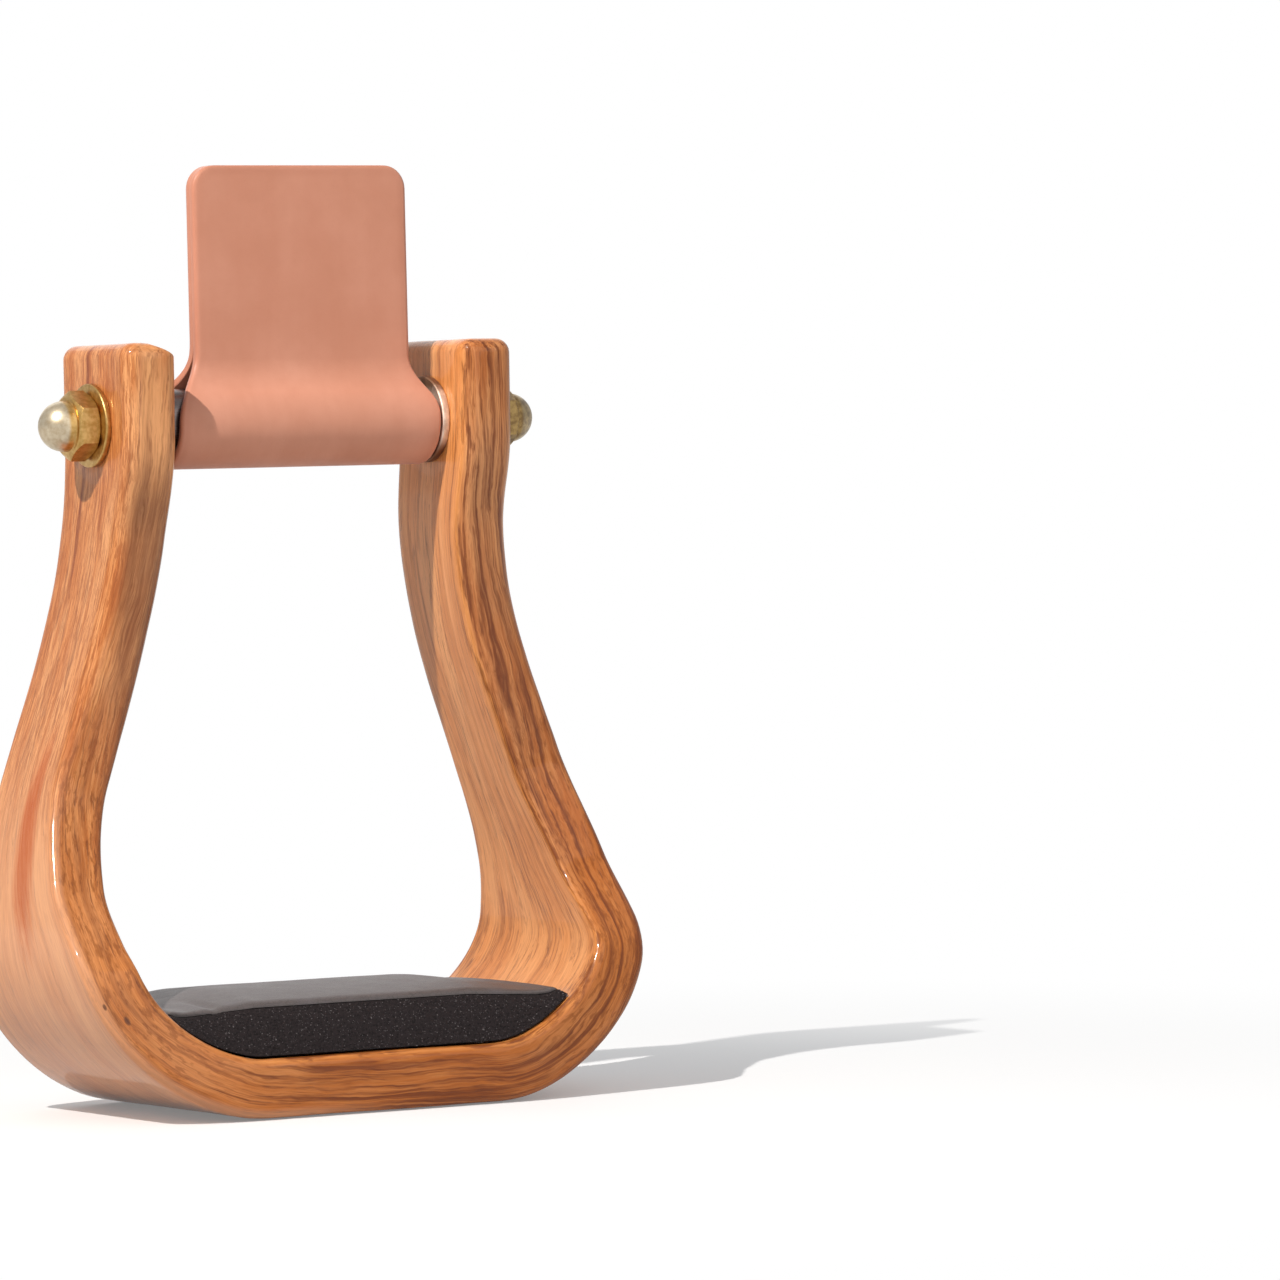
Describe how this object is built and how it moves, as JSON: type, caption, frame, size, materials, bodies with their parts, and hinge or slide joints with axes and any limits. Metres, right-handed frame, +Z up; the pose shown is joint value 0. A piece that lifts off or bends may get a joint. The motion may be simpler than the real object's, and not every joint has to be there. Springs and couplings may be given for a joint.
{
  "type": "western stirrup",
  "caption": "Western stirrup: a bent oak bow with a padded tread, closed at the top by a bolt with domed nuts that carries a roller in a leather cover with a stiff upright flap.",
  "frame": {"origin": "middle of the tread's underside", "axes": "+X along the top bar to the right leg, +Y from the scooped front edge to the back, +Z up from the tread to the heads"},
  "size_m": [0.151, 0.076, 0.2215],
  "materials": {
    "varnished_oak": "clear gloss varnish over steam bent oak",
    "pad_foam": "matte open-cell foam",
    "pad_skin": "finely wrinkled satin skin",
    "brass": "satin plated",
    "zinc_steel": "zinc plated",
    "bright_steel": "bright drawn tube",
    "natural_leather": "smooth undyed vegetable tanned"
  },
  "bodies": {
    "stirrup": {"bow": "varnished_oak", "tread_pad_core": "pad_foam", "tread_pad_skin": "pad_skin", "axle_rod": "zinc_steel", "left_acorn_nut": "brass", "right_acorn_nut": "brass", "left_brass_washer": "brass", "right_brass_washer": "brass", "left_steel_washer": "zinc_steel", "right_steel_washer": "zinc_steel"},
    "roller": {"roller_tube": "bright_steel"},
    "cover": {"leather_cover": "natural_leather"}
  },
  "joints": [
    {"name": "roller_spin", "type": "hinge", "parent": "stirrup", "child": "roller", "pos_m": [0, 0.002, 0.161], "axis": [1, 0, 0], "continuous": true},
    {"name": "cover_swing", "type": "hinge", "parent": "stirrup", "child": "cover", "pos_m": [0, 0.002, 0.161], "axis": [1, 0, 0], "continuous": true}
  ]
}
